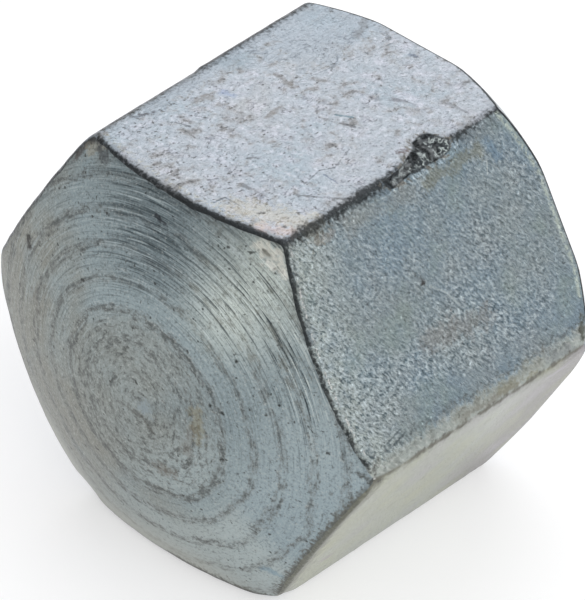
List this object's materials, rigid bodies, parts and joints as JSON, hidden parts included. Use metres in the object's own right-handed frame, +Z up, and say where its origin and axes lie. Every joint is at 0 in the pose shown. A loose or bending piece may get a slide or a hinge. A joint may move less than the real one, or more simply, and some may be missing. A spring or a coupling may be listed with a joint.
{
  "type": "cap nut",
  "caption": "Low hexagon cap nut with a shallow domed closed end and a blind tapped hole, lying on one of its flats.",
  "frame": {"origin": "centre of the bearing face at the open end, on the thread's axis", "axes": "+Z up with the nut lying on one flat, +Y along the thread's axis and out of its mouth, +X to the corner between two flats"},
  "size_m": [0.0114, 0.0089, 0.01],
  "materials": {
    "zinc_plated_steel": "blue-passivated zinc plate over drawn flats and a turned dome, worn, with brown stains"
  },
  "bodies": {
    "root": {"cap_nut": "zinc_plated_steel"}
  },
  "joints": []
}
